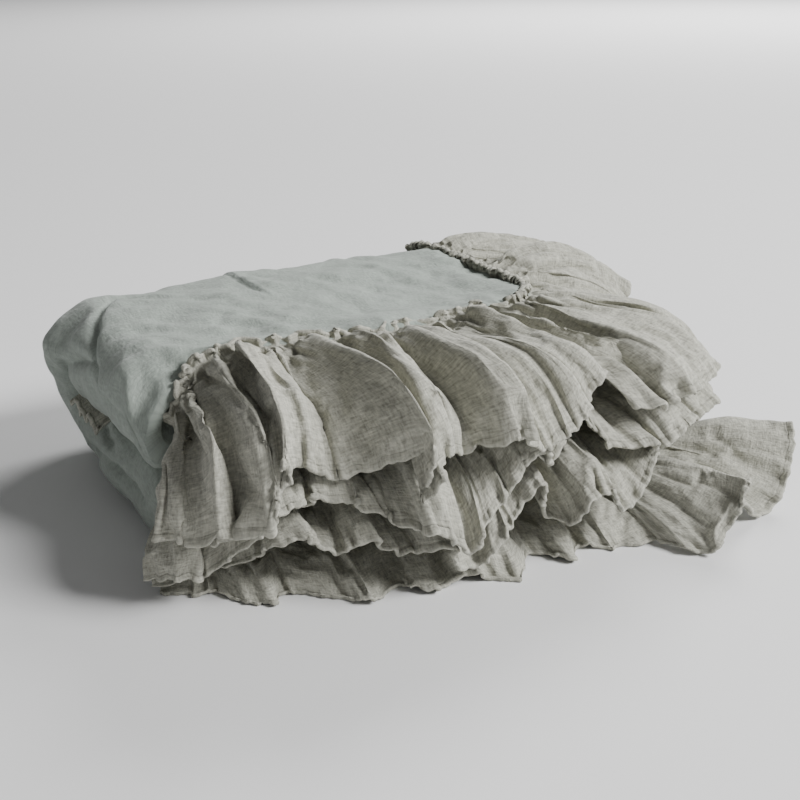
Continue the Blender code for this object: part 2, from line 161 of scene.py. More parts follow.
# one row per fold: place at the seam, place at the hem, stand-out and height of the hem, bulge
TIERS = {
    1: [(-0.064, -0.058, 0.030, 0.046, 0.002), (-0.054, -0.050, 0.036, 0.044, 0.010),
        (-0.044, -0.042, 0.040, 0.044, 0.016), (-0.032, -0.033, 0.034, 0.040, 0.010),
        (-0.022, -0.025, 0.034, 0.042, 0.014), (-0.008, -0.017, 0.014, 0.038, -0.012),
        (0.012, -0.010, 0.040, 0.042, 0.018), (0.024, -0.002, 0.066, 0.068, 0.004),
        (0.036, 0.008, 0.090, 0.100, 0.024), (0.050, 0.026, 0.097, 0.104, 0.018),
        (0.060, 0.054, 0.096, 0.090, 0.002), (0.082, 0.100, 0.112, 0.098, 0.026),
        (0.096, 0.101, 0.096, 0.066, -0.002), (0.106, 0.108, 0.105, 0.078, 0.006),
        (0.122, 0.122, 0.118, 0.100, 0.028), (0.148, 0.142, 0.124, 0.105, 0.010),
        (0.166, 0.164, 0.124, 0.102, 0.014), (0.190, 0.198, 0.104, 0.080, -0.008),
        (0.202, 0.230, 0.100, 0.086, 0.002), (0.212, 0.250, 0.108, 0.104, 0.016),
        (0.226, 0.275, 0.117, 0.133, 0.018), (0.236, 0.286, 0.104, 0.127, 0.004),
        (0.246, 0.297, 0.108, 0.138, 0.020), (0.254, 0.299, 0.113, 0.126, 0.014),
        (0.262, 0.287, 0.124, 0.102, -0.002), (0.276, 0.291, 0.133, 0.098, 0.008),
        (0.292, 0.301, 0.150, 0.110, 0.016), (0.306, 0.314, 0.148, 0.100, 0.006),
        (0.320, 0.326, 0.150, 0.096, 0.014), (0.336, 0.338, 0.156, 0.084, 0.004),
        (0.352, 0.352, 0.146, 0.092, 0.010), (0.366, 0.366, 0.142, 0.086, -0.002),
        (0.382, 0.383, 0.152, 0.092, 0.006), (0.398, 0.396, 0.165, 0.114, 0.012),
        (0.412, 0.411, 0.166, 0.130, 0.014), (0.430, 0.430, 0.144, 0.144, 0.014),
        (0.450, 0.448, 0.120, 0.142, 0.004), (0.470, 0.472, 0.122, 0.116, -0.004),
        (0.490, 0.490, 0.136, 0.130, 0.002), (0.505, 0.505, 0.143, 0.146, 0.006),
        (0.520, 0.521, 0.134, 0.152, 0.006), (0.536, 0.538, 0.112, 0.150, 0.002),
        (0.552, 0.552, 0.094, 0.130, 0.000), (0.570, 0.571, 0.092, 0.110, 0.002)],
    2: [(-0.070, -0.070, 0.046, 0.016, 0.008), (-0.050, -0.050, 0.052, 0.020, 0.012),
        (-0.030, -0.030, 0.046, 0.018, 0.000), (-0.012, -0.014, 0.055, 0.035, 0.006),
        (0.002, 0.000, 0.080, 0.060, 0.010), (0.014, 0.012, 0.100, 0.078, 0.012),
        (0.030, 0.030, 0.104, 0.082, 0.014), (0.046, 0.044, 0.110, 0.084, 0.014),
        (0.062, 0.062, 0.114, 0.076, 0.010), (0.080, 0.084, 0.114, 0.060, 0.002),
        (0.100, 0.102, 0.112, 0.046, 0.000), (0.116, 0.118, 0.116, 0.044, 0.006),
        (0.136, 0.142, 0.108, 0.026, -0.002), (0.150, 0.154, 0.120, 0.042, 0.000),
        (0.166, 0.172, 0.132, 0.064, 0.008), (0.180, 0.188, 0.138, 0.084, 0.014),
        (0.194, 0.204, 0.134, 0.090, 0.012), (0.212, 0.222, 0.118, 0.074, 0.002),
        (0.232, 0.246, 0.104, 0.086, 0.006), (0.250, 0.262, 0.108, 0.094, 0.012),
        (0.264, 0.275, 0.132, 0.090, 0.012), (0.276, 0.284, 0.140, 0.077, 0.004),
        (0.286, 0.290, 0.147, 0.071, 0.002), (0.300, 0.300, 0.152, 0.080, 0.012),
        (0.314, 0.315, 0.154, 0.074, 0.003), (0.330, 0.328, 0.162, 0.072, 0.012),
        (0.346, 0.345, 0.150, 0.062, 0.000), (0.360, 0.360, 0.142, 0.080, 0.012),
        (0.376, 0.376, 0.124, 0.066, 0.000), (0.400, 0.400, 0.138, 0.090, 0.012),
        (0.424, 0.424, 0.122, 0.068, 0.000), (0.450, 0.450, 0.136, 0.088, 0.012),
        (0.474, 0.474, 0.122, 0.066, 0.000), (0.500, 0.500, 0.134, 0.086, 0.012),
        (0.530, 0.530, 0.116, 0.066, 0.004)],
    3: [(-0.066, -0.066, 0.050, 0.010, 0.006), (-0.046, -0.046, 0.054, 0.014, 0.004),
        (-0.028, -0.028, 0.056, 0.018, 0.004), (-0.012, -0.012, 0.072, 0.028, 0.006),
        (0.002, 0.002, 0.092, 0.044, 0.008), (0.024, 0.024, 0.112, 0.058, 0.012),
        (0.040, 0.042, 0.114, 0.044, 0.004), (0.056, 0.054, 0.116, 0.038, 0.002),
        (0.072, 0.074, 0.124, 0.048, 0.010), (0.088, 0.092, 0.126, 0.032, 0.004),
        (0.104, 0.108, 0.130, 0.028, 0.002), (0.122, 0.122, 0.138, 0.034, 0.008),
        (0.146, 0.150, 0.128, 0.014, 0.000), (0.168, 0.174, 0.136, 0.036, 0.008),
        (0.188, 0.196, 0.146, 0.062, 0.012), (0.206, 0.214, 0.146, 0.070, 0.012),
        (0.220, 0.223, 0.150, 0.040, 0.000), (0.231, 0.233, 0.164, 0.033, 0.004),
        (0.240, 0.243, 0.170, 0.058, 0.012), (0.252, 0.254, 0.171, 0.068, 0.014),
        (0.264, 0.265, 0.174, 0.066, 0.010), (0.274, 0.275, 0.178, 0.045, 0.002),
        (0.282, 0.283, 0.166, 0.050, 0.004), (0.290, 0.289, 0.156, 0.068, 0.008),
        (0.300, 0.299, 0.146, 0.074, 0.010), (0.312, 0.312, 0.140, 0.071, 0.002),
        (0.324, 0.325, 0.148, 0.076, 0.012), (0.336, 0.336, 0.144, 0.067, 0.002),
        (0.350, 0.350, 0.140, 0.060, 0.010), (0.372, 0.372, 0.136, 0.034, 0.002),
        (0.398, 0.398, 0.146, 0.046, 0.012), (0.422, 0.422, 0.130, 0.030, 0.000),
        (0.448, 0.448, 0.142, 0.048, 0.012), (0.472, 0.472, 0.128, 0.030, 0.000),
        (0.498, 0.498, 0.140, 0.048, 0.012), (0.530, 0.530, 0.124, 0.030, 0.004)],
    4: [(-0.062, -0.062, 0.058, 0.002, 0.004), (-0.040, -0.040, 0.062, 0.002, 0.004),
        (-0.024, -0.024, 0.062, 0.002, 0.000), (-0.010, -0.010, 0.080, 0.002, 0.006),
        (0.004, 0.004, 0.096, 0.002, 0.008), (0.022, 0.022, 0.090, 0.002, 0.002),
        (0.052, 0.052, 0.114, 0.002, 0.008), (0.073, 0.073, 0.126, 0.002, 0.009),
        (0.100, 0.100, 0.124, 0.002, 0.002), (0.118, 0.118, 0.138, 0.002, 0.010),
        (0.150, 0.150, 0.138, 0.002, 0.002), (0.184, 0.184, 0.160, 0.002, 0.012),
        (0.210, 0.212, 0.136, 0.002, 0.000), (0.236, 0.238, 0.157, 0.002, 0.010),
        (0.256, 0.258, 0.150, 0.002, 0.000), (0.274, 0.276, 0.160, 0.002, 0.010),
        (0.286, 0.286, 0.176, 0.002, 0.002), (0.292, 0.290, 0.210, 0.008, 0.018),
        (0.297, 0.295, 0.216, 0.040, 0.022), (0.302, 0.300, 0.214, 0.064, 0.020),
        (0.308, 0.306, 0.212, 0.036, 0.004), (0.313, 0.311, 0.224, 0.004, 0.004),
        (0.319, 0.318, 0.234, 0.024, 0.012), (0.327, 0.328, 0.232, 0.062, 0.014),
        (0.340, 0.341, 0.204, 0.020, 0.000), (0.354, 0.354, 0.190, 0.002, 0.012),
        (0.372, 0.372, 0.164, 0.002, 0.002), (0.396, 0.396, 0.160, 0.002, 0.012),
        (0.420, 0.420, 0.148, 0.002, 0.000), (0.448, 0.448, 0.156, 0.002, 0.012),
        (0.474, 0.474, 0.144, 0.002, 0.000), (0.500, 0.500, 0.152, 0.002, 0.012),
        (0.530, 0.530, 0.140, 0.002, 0.004)],
}


# ---------------------------------------------------------------- small tools
def smooth(t):
    t = np.clip(t, 0.0, 1.0)
    return t * t * (3 - 2 * t)


def table(rows, column, at):
    rows = np.array(rows)
    return np.interp(at, rows[:, 0], rows[:, column])


def place(at, out, height):
    """points seen from the open sides: place along them, stand-out from the outline, height"""
    at = np.asarray(at, float)
    x = np.where(at < 0, START_X, np.where(at < FRONT_RUN, START_X + at, RIGHT_X - CORNER))
    y = CORNER + np.clip(at - SIDE_FROM, 0, SIDE_RUN)
    turn = -90 + LEFT_TURN * np.clip(at / LEFT_RUN, -1, 0)
    turn = turn + TURN_RATE * np.clip(at - FRONT_RUN, 0, TURN_RUN)
    turn = turn + BACK_RATE * np.clip(at - SIDE_TO, 0, TURN_RUN)
    turn, r = np.radians(turn), CORNER + out
    return np.stack([x + r * np.cos(turn), y + r * np.sin(turn), height + 0 * x], -1)


def unplace(points):
    """place along the open sides, stand-out and height of points, the reverse of place"""
    x, y, z = points[..., 0], points[..., 1], points[..., 2]
    left, right = x < START_X, x > RIGHT_X - CORNER
    px = np.clip(x, START_X, RIGHT_X - CORNER)
    py = np.where(right, np.clip(y, CORNER, CORNER + SIDE_RUN), CORNER)
    turn = np.degrees(np.arctan2(y - py, x - px))
    turn = np.where(left & (turn > 90), turn - 360, turn)
    side = np.where(y < CORNER, FRONT_RUN + (turn + 90) / TURN_RATE, SIDE_FROM + py - CORNER)
    at = np.where(right, side, x - START_X)
    at = np.where(right & (y > CORNER + SIDE_RUN), SIDE_TO + turn / BACK_RATE, at)
    at = np.where(left, (turn + 90) / LEFT_TURN * LEFT_RUN, at)
    return at, np.hypot(x - px, y - py) - CORNER, z


def lattice(u, v, cell_u, cell_v, seed):
    """smooth value noise from -1 to 1 over u and v"""
    values = np.random.default_rng(seed).uniform(-1, 1, (512, 512))
    fu, fv = np.asarray(u) / cell_u + 57.3, np.asarray(v) / cell_v + 31.7
    iu, iv = np.floor(fu).astype(int), np.floor(fv).astype(int)
    tu, tv = smooth(fu - iu), smooth(fv - iv)
    iu, iv, ju, jv = iu % 512, iv % 512, (iu + 1) % 512, (iv + 1) % 512
    one = values[iu, iv] * (1 - tu) + values[ju, iv] * tu
    two = values[iu, jv] * (1 - tu) + values[ju, jv] * tu
    return one * (1 - tv) + two * tv


def gathers(s, spacing, seed, sharp=0.6):
    """irregular crests and valleys along s: rounded crests at +1, tight valleys at -1"""
    rng = np.random.default_rng(seed)
    span = s.max() - s.min()
    count = int(span / spacing * 2.4) + 8
    knots = s.min() - spacing + np.cumsum(rng.uniform(0.3, 0.7, count) * spacing)
    heights = np.where(np.arange(count) % 2, 1.0, -1.0) * rng.uniform(0.45, 1.0, count)
    i = np.clip(np.searchsorted(knots, s) - 1, 0, count - 2)
    t = (s - knots[i]) / (knots[i + 1] - knots[i])
    rising = heights[i + 1] > heights[i]
    t = np.where(rising, t, 1 - t)
    t = smooth(t) * (1 - sharp) + np.sin(math.pi / 2 * np.clip(t, 0, 1)) * sharp
    low_end, high_end = np.minimum(heights[i], heights[i + 1]), np.maximum(heights[i], heights[i + 1])
    return low_end + (high_end - low_end) * t


def gathered(s, kind, seed, sharp=0.6):
    """gathers of a named kind, at their height"""
    spacing, height = GATHERS[kind]
    return gathers(s, spacing, seed, sharp) * height


def rumple(along, down, kind, seed):
    """uneven cloth of a named kind, over the length along it and the length down or across it"""
    cell_along, cell_down, height = RUMPLES[kind]
    return lattice(along, down, cell_along, cell_down, seed) * height


def catmull(values, q):
    """a smooth curve through evenly numbered values, or through evenly numbered lines of a grid"""
    values = np.asarray(values, float)
    i = np.clip(np.floor(q).astype(int), 0, len(values) - 2)
    t = (q - i).reshape((-1,) + (1,) * (values.ndim - 1))
    a, b = values[np.maximum(i - 1, 0)], values[i]
    c, d = values[i + 1], values[np.minimum(i + 2, len(values) - 1)]
    bend = (2 * a - 5 * b + 4 * c - d) * t ** 2
    return 0.5 * (2 * b + (c - a) * t + bend + (3 * b - a - 3 * c + d) * t ** 3)


def resample(grid, count, axis):
    """a smooth curve through each line of a grid, with count points"""
    lines = np.moveaxis(grid, axis, 0)
    return np.moveaxis(catmull(lines, np.linspace(0, len(lines) - 1, count)), 0, axis)


def unit(vectors):
    return vectors / np.linalg.norm(vectors, axis=-1, keepdims=True)


def normals(points):
    n = np.cross(np.gradient(points, axis=0), np.gradient(points, axis=1))
    return n / np.maximum(np.linalg.norm(n, axis=2, keepdims=True), 1e-12)


def steps(points, axis):
    """distance travelled along one axis of a grid, from its first line"""
    d = np.linalg.norm(np.diff(points, axis=axis), axis=-1)
    first = np.zeros_like(np.take(d, [0], axis=axis))
    return np.cumsum(np.concatenate([first, d], axis=axis), axis=axis)


def grid_faces(n, m, start=0):
    i, j = np.meshgrid(np.arange(n - 1), np.arange(m - 1), indexing="ij")
    a = start + (i * m + j).ravel()
    return np.stack([a, a + m, a + m + 1, a + 1], 1)


def mesh_object(name, points, faces, uv, material):
    """a smooth-shaded object from plan points, four-cornered faces and cloth coordinates"""
    mesh = bpy.data.meshes.new(name)
    points = np.asarray(points) - ORIGIN
    mesh.from_pydata(points.tolist(), [], faces.tolist())
    layer = mesh.uv_layers.new(name="cloth")
    corners = np.empty(len(mesh.loops), int)
    mesh.loops.foreach_get("vertex_index", corners)
    layer.data.foreach_set("uv", np.asarray(uv)[corners].astype(np.float32).ravel())
    mesh.shade_smooth()
    mesh.materials.append(material)
    obj = bpy.data.objects.new(name, mesh)
    bpy.context.scene.collection.objects.link(obj)
    return obj


# ---------------------------------------------------------------- materials
def node(tree, kind, **inputs):
    made = tree.nodes.new(kind)
    for key, value in inputs.items():
        if hasattr(made, key):
            setattr(made, key, value)
        else:
            made.inputs[key].default_value = value
    return made


def math_node(tree, operation, one, two=0.0):
    made = node(tree, "ShaderNodeMath", operation=operation)
    for socket, value in zip(made.inputs, (one, two)):
        if isinstance(value, (int, float)):
            socket.default_value = value
        else:
            tree.links.new(value, socket)
    return made.outputs[0]


def stretched_noise(tree, coordinates, scale, detail=2.0, rough=0.5):
    mapping = node(tree, "ShaderNodeMapping")
    mapping.inputs["Scale"].default_value = scale
    tree.links.new(coordinates, mapping.inputs["Vector"])
    noise = node(tree, "ShaderNodeTexNoise", noise_dimensions="3D")
    noise.inputs["Scale"].default_value = 1.0
    noise.inputs["Detail"].default_value = detail
    noise.inputs["Roughness"].default_value = rough
    tree.links.new(mapping.outputs[0], noise.inputs["Vector"])
    return noise.outputs["Fac"]


def linen(name, color, thread, slub, mottle, crumple, blotch):
    """plain-woven linen: threads and slubs crossing, soft mottling and a crumpled surface"""
    material = bpy.data.materials.new(name)
    material.use_nodes = True
    tree = material.node_tree
    shader = tree.nodes["Principled BSDF"]
    shader.inputs["Roughness"].default_value = 0.92
    shader.inputs["Sheen Weight"].default_value = 0.15
    shader.inputs["Sheen Roughness"].default_value = 0.5
    shader.inputs["Specular IOR Level"].default_value = 0.2
    cloth = node(tree, "ShaderNodeUVMap", uv_map="cloth").outputs[0]
    solid = node(tree, "ShaderNodeTexCoord").outputs["Object"]
    fine, run = 1.0 / thread, 0.24 / thread
    warp = stretched_noise(tree, cloth, (fine, run, 1.0), 2.0, 0.6)
    weft = stretched_noise(tree, cloth, (run, fine, 1.0), 2.0, 0.6)
    threads = math_node(tree, "SUBTRACT", math_node(tree, "ADD", warp, weft), 1.0)
    long_warp = stretched_noise(tree, cloth, (0.45 / thread, 14.0, 1.0), 1.0)
    long_weft = stretched_noise(tree, cloth, (14.0, 0.45 / thread, 1.0), 1.0)
    slubs = math_node(tree, "SUBTRACT", math_node(tree, "ADD", long_warp, long_weft), 1.0)
    cloud = stretched_noise(tree, solid, (blotch, blotch, blotch), 4.0, 0.6)
    tone = math_node(tree, "ADD", 1.0, math_node(tree, "MULTIPLY", threads, slub))
    tone = math_node(tree, "ADD", tone, math_node(tree, "MULTIPLY", slubs, slub * 0.28))
    cloud = math_node(tree, "MULTIPLY", math_node(tree, "SUBTRACT", cloud, 0.5), mottle)
    tone = math_node(tree, "ADD", tone, cloud)
    scaled = node(tree, "ShaderNodeVectorMath", operation="SCALE")
    scaled.inputs[0].default_value = color
    tree.links.new(tone, scaled.inputs["Scale"])
    tree.links.new(scaled.outputs[0], shader.inputs["Base Color"])
    coarse = node(tree, "ShaderNodeBump")
    coarse.inputs["Strength"].default_value = 0.7
    coarse.inputs["Distance"].default_value = crumple
    tree.links.new(stretched_noise(tree, solid, (75.0, 75.0, 75.0), 3.0, 0.55), coarse.inputs["Height"])
    weave = node(tree, "ShaderNodeBump")
    weave.inputs["Strength"].default_value = 0.8
    weave.inputs["Distance"].default_value = thread * 0.45
    tree.links.new(threads, weave.inputs["Height"])
    tree.links.new(coarse.outputs[0], weave.inputs["Normal"])
    tree.links.new(weave.outputs[0], shader.inputs["Normal"])
    return material


# ---------------------------------------------------------------- panel
def fold(run, radius):
    """a path folded back on itself at 0: distance from the fold, height, how far it has turned"""
    arc = math.pi / 2 * radius
    turn = np.clip(math.pi / 2 - run / radius, 0.0, math.pi)
    distance = np.where(np.abs(run) < arc, -radius * np.sin(turn), np.abs(run) - arc)
    return distance, radius * np.cos(turn), turn


def panel_points(a, b, w):
    """the filled panel's surface: a, b on the opened sheet from its two folds, w 1 outside, -1 inside"""
    edge = np.minimum(REACH_A - np.abs(a), REACH_B - np.abs(b))
    half = LOFT / 2 * (RIM + (1 - RIM) * np.sin(math.pi / 2 * np.clip(edge / RIM_RUN, 0, 1)))
    run, level, turn = fold(a, R_LEFT)
    x = FOLD_X + run - half * w * np.sin(turn)
    upper = np.clip((level / R_LEFT + 1) / 2, 0, 1)
    level = level + half * w * np.cos(turn)
    run, middle, over = fold(b, R_BACK)
    y = FOLD_Y - run + level * np.sin(over)
    z = MID_Z + middle + level * np.cos(over)
    cx, cy = x - (RIGHT_X - CORNER), CORNER - y
    both = (cx > 0) & (cy > 0)
    u, v = np.clip(cx / CORNER, 0, 1), np.clip(cy / CORNER, 0, 1)
    cx = np.where(both, cx * np.sqrt(1 - v * v / 2), cx)
    cy = np.where(both, cy * np.sqrt(1 - u * u / 2), cy)
    x, y = RIGHT_X - CORNER + cx, CORNER - cy
    r = np.maximum(np.hypot(cx, cy), 1e-9)
    front, side = (cy > 0) & ~both, (cx > 0) & ~both
    at = np.where(both, FRONT_RUN + TURN_RUN * (1 - np.arctan2(cy, cx) / (math.pi / 2)),
                  np.where(front, x - START_X, np.where(side, SIDE_FROM + y - CORNER, 0.1)))
    depth = np.where(both, CORNER - r, np.where(front, y, np.where(side, RIGHT_X - x, 1.0)))
    dx = np.where(both, cx / r, np.where(side, 1.0, 0.0))
    dy = np.where(both, -cy / r, np.where(front, -1.0, 0.0))
    # the sewn edge of each layer goes to where its tier is sewn on
    under = over / math.pi
    share = {1: (1 - under) * upper, 2: (1 - under) * (1 - upper), 3: under * (1 - upper), 4: under * upper}
    out = sum(s * table(SEAMS[k], 1, at) for k, s in share.items())
    lift = sum(s * (table(SEAMS[k], 2, at) - DROP - MID_Z - R_LEFT * (5 - 2 * k)) for k, s in share.items())
    near = 1 - smooth(depth / CORNER)
    pull = out - EDGE_GAP - LEFT_PULL * (1 - smooth(x / START_X))
    x, y = x + dx * pull * near, y + dy * pull * near
    z = z + lift * (1 - np.sin(over)) * near
    # the left end: a pointed corner on the upper fold, and the lower fold set back
    x = x - POINT * np.exp(-(a / POINT_SPREAD[0]) ** 2) * np.exp(-((b - POINT_AT) / POINT_SPREAD[1]) ** 2)
    x = x + SET_BACK * np.exp(-(a / SET_BACK_SPREAD[0]) ** 2) * smooth(-b / SET_BACK_SPREAD[1])
    across, along = np.clip(x / PILE[0], 0, 1), np.clip((y - PILE_FRONT) / PILE[1], 0, 1)
    z = z + CROWN * np.sin(math.pi * across) * np.sin(math.pi * along) * z / PILE[2]
    return np.stack([x, y, z], -1)


def pressed(a, b, line, depth, width, lift):
    """a crease along a line on the sheet: cloth pushed in along it, and raised on its right side"""
    near = np.full(a.shape, 1.0)
    side, along = np.zeros(a.shape), np.zeros(a.shape)
    for k, ((a0, b0), (a1, b1)) in enumerate(zip(line, line[1:])):
        da, db = a1 - a0, b1 - b0
        t = np.clip(((a - a0) * da + (b - b0) * db) / (da * da + db * db), 0, 1)
        off_a, off_b = a - a0 - t * da, b - b0 - t * db
        distance = np.hypot(off_a, off_b)
        closer = distance < near
        near = np.where(closer, distance, near)
        side = np.where(closer, np.sign(da * off_b - db * off_a), side)
        along = np.where(closer, (k + t) / (len(line) - 1), along)
    fade = smooth(along * 4) * smooth((1 - along) * 4)
    raised = lift * (side < 0) * np.exp(-near / 0.022) * smooth(near / 0.003)
    return fade * (raised - depth * np.exp(-(near / width) ** 1.4))


def rumpled(a, b, points):
    """the panel's outer skin with its creases, dents and small puckers"""
    out = -normals(points)
    move = sum(pressed(a, b, *row) for row in CREASES.values())
    # soft dents everywhere, finer folds across the left end
    move = move + rumple(a, b, "dents", 501)
    move = move + rumple(a + b, a - b, "slanting dents", 502)
    move = move + rumple(a, b, "small dents", 503)
    end = np.exp(-(a / END_RUN) ** 2)
    move = move + end * rumple(a + 0.15 * b, b, "end folds", 504)
    move = move + end * rumple(a, b + 0.5 * a, "end crumples", 505)
    move = move + FILLED_OUT * np.exp(-((a - FILLED_AT) / FILLED_WIDTH) ** 2) * smooth(b / 0.08)
    # puckers that run in from the two gathered seams
    front, side = REACH_B - b, REACH_A - a
    move = move + rumple(a, b, "front puckers", 506) * np.exp(-(front / PUCKER_RUN) ** 2) * (b > 0)
    move = move + rumple(a, b, "side puckers", 507) * np.exp(-(side / PUCKER_RUN) ** 2) * (a > 0)
    edge = np.minimum(REACH_A - np.abs(a), REACH_B - np.abs(b))
    return points + out * (move * smooth(edge / 0.004))[..., None]


def mesh_lines(reach, arc, cells):
    """sheet lines from one edge to the other: the hidden half, the fold, the side that shows"""
    hidden, fold_back, shown = cells
    lines = [np.linspace(-reach, -arc, hidden), np.linspace(-arc, arc, fold_back)[1:]]
    return np.concatenate(lines + [np.linspace(arc, reach, shown)[1:]])


def panel(material):
    a = mesh_lines(REACH_A, math.pi / 2 * R_LEFT, (44, 56, 160))
    b = mesh_lines(REACH_B, math.pi / 2 * R_BACK, (44, 40, 100))
    aa, bb = np.meshgrid(a, b, indexing="ij")
    sides = [panel_points(aa, bb, w) for w in (1.0, -1.0)]
    sides[0] = rumpled(aa, bb, sides[0])
    for side in sides:
        side[..., 2] = np.maximum(side[..., 2], 0.0004)
    n, m = aa.shape
    points = np.concatenate([side.reshape(-1, 3) for side in sides])
    faces = [grid_faces(n, m), grid_faces(n, m, n * m)[:, ::-1]]
    ring = [(i, 0) for i in range(n)] + [(n - 1, j) for j in range(1, m)]
    ring += [(i, m - 1) for i in range(n - 2, -1, -1)] + [(0, j) for j in range(m - 2, 0, -1)]
    ring = np.array([i * m + j for i, j in ring])
    after = np.roll(ring, -1)
    faces.append(np.stack([ring, ring + n * m, after + n * m, after], 1))
    uv = np.stack([aa, bb], -1).reshape(-1, 2)
    return mesh_object("panel_cloth", points, np.concatenate(faces), np.concatenate([uv, uv]), material)


# ---------------------------------------------------------------- flounce
def columns(rows, count):
    """fold numbers of the mesh columns, evenly spread along the hem and the seam"""
    q = np.linspace(0, len(rows) - 1, 4000)
    rows = np.array(rows)
    hem = place(*(catmull(rows[:, k], q) for k in (1, 2, 3)))
    along = steps(hem[:, None], 0)[:, 0]
    along = along / along[-1] + 0.6 * q / q[-1]
    return np.interp(np.linspace(0, along[-1], count), along, q)


def tier_points(tier, count, rows_down, seed, reach_share=1.0):
    """a tier's cloth as a grid from seam to hem, with its large folds and its gathers"""
    rows = np.array(TIERS[tier])
    q = columns(rows, count)
    at = np.interp(q, np.arange(len(rows)), rows[:, 0])
    to, out, height = (catmull(rows[:, k], q) for k in (1, 2, 3))
    height = np.maximum(height, 0.002)
    i = np.clip(np.floor(q).astype(int), 0, len(rows) - 2)
    rising = rows[i + 1, 4] > rows[i, 4]
    t = np.where(rising, q - i, 1 - q + i)
    shaped = np.sin(math.pi / 2 * t) * 0.6 + smooth(t) * 0.4
    bulge = np.minimum(rows[i, 4], rows[i + 1, 4]) + np.abs(rows[i + 1, 4] - rows[i, 4]) * shaped
    near, level = table(SEAMS[tier], 1, at), table(SEAMS[tier], 2, at)
    start = np.arctan2(near + CORNER, level), np.hypot(near + CORNER, level)
    end = np.arctan2(out + CORNER, height), np.hypot(out + CORNER, height)
    down = np.linspace(0, reach_share, rows_down)[None, :]
    turn = start[0][:, None] + (end[0] - start[0])[:, None] * down
    reach = start[1][:, None] + (end[1] - start[1])[:, None] * down
    reach = reach + bulge[:, None] * np.sin(math.pi * down) ** 0.75
    where = at[:, None] + (to - at)[:, None] * down ** 1.2
    points = place(where, reach * np.sin(turn) - CORNER, reach * np.cos(turn))
    # gathers run down from the seam, some nearly to the hem
    length = 0.70 + 0.40 * lattice(at, 0 * at, 0.022, 1.0, seed + 6)[:, None]
    pleats = gathered(at, "pleat", seed + 1, 0.9)[:, None] * (1 - smooth(down / length))
    wide = gathered(at, "wide", seed + 2)[:, None] * smooth(down / 0.5)
    return at, points + normals(points) * (pleats * smooth(down / 0.06) + wide)[..., None]


def crinkled(at, points, seed):
    """the small gathers below the seam, the rumples and the puckered hem"""
    down = np.linspace(0, 1, points.shape[1])[None, :]
    s = steps(points[:, -1:], 0)[:, 0]
    depth = down * DEPTH
    small = gathered(at, "small", seed)[:, None] * (1 - smooth(down / 0.50)) * smooth(down / 0.04)
    uneven = rumple(s[:, None], depth, "broad", seed + 3) + rumple(s[:, None], depth, "fine", seed + 4)
    uneven = uneven + rumple(at[:, None], depth, "streak", seed + 10) * (1 - smooth(down))
    edge = smooth((down - 0.86) / 0.14)
    frill = gathered(s, "frill", seed + 5, 0.2) + gathered(s, "fine frill", seed + 8)
    bump = small + uneven * smooth(down / 0.2) + frill[:, None] * edge
    points = points + normals(points) * bump[..., None]
    along = unit(np.gradient(points, axis=1))
    pull = gathered(s + 0.004, "hem pull", seed + 7, 0.3)[:, None] * edge
    return s, points + along * pull[..., None]


def simulate(name, grid, target, hold, grow):
    """cloth that has grown by a share of its size buckles while its seam is held"""
    n, m = grid.shape[:2]
    mesh = bpy.data.meshes.new(name)
    mesh.from_pydata((grid.reshape(-1, 3) - ORIGIN).tolist(), [], grid_faces(n, m).tolist())
    obj = bpy.data.objects.new(name, mesh)
    bpy.context.scene.collection.objects.link(obj)
    obj.shape_key_add(name="short")
    key = obj.shape_key_add(name="draped")
    key.data.foreach_set("co", (target - ORIGIN).astype(np.float32).ravel())
    for frame_number, value in ((1, 0.0), (int(LOOSE_FRAMES * 0.6), 1.0)):
        key.value = value
        key.keyframe_insert("value", frame=frame_number)
    group = obj.vertex_groups.new(name="held")
    hold = np.round(np.broadcast_to(hold, (n, m)).ravel(), 2)
    for level in np.unique(hold):
        group.add(np.flatnonzero(hold == level).tolist(), float(level), "REPLACE")
    cloth = obj.modifiers.new("cloth", "CLOTH")
    made = cloth.settings
    made.quality = 4
    made.mass = 0.2
    made.tension_stiffness, made.compression_stiffness, made.shear_stiffness = 15, 15, 4
    made.bending_stiffness = BENDING
    made.tension_damping = made.compression_damping = made.shear_damping = 5
    made.bending_damping = 0.5
    made.air_damping = 2
    made.shrink_min = -grow
    made.vertex_group_mass = "held"
    made.pin_stiffness = 1.0
    made.effector_weights.gravity = 0.1
    cloth.collision_settings.use_collision = False
    cloth.collision_settings.use_self_collision = False
    cloth.point_cache.frame_start, cloth.point_cache.frame_end = 1, LOOSE_FRAMES
    scene = bpy.context.scene
    for frame_number in range(1, LOOSE_FRAMES + 1):
        scene.frame_set(frame_number)
    shaped = obj.evaluated_get(bpy.context.evaluated_depsgraph_get()).data
    points = np.empty(n * m * 3, np.float32)
    shaped.vertices.foreach_get("co", points)
    bpy.data.objects.remove(obj)
    bpy.data.meshes.remove(mesh)
    scene.frame_set(1)
    return points.reshape(n, m, 3).astype(float) + ORIGIN


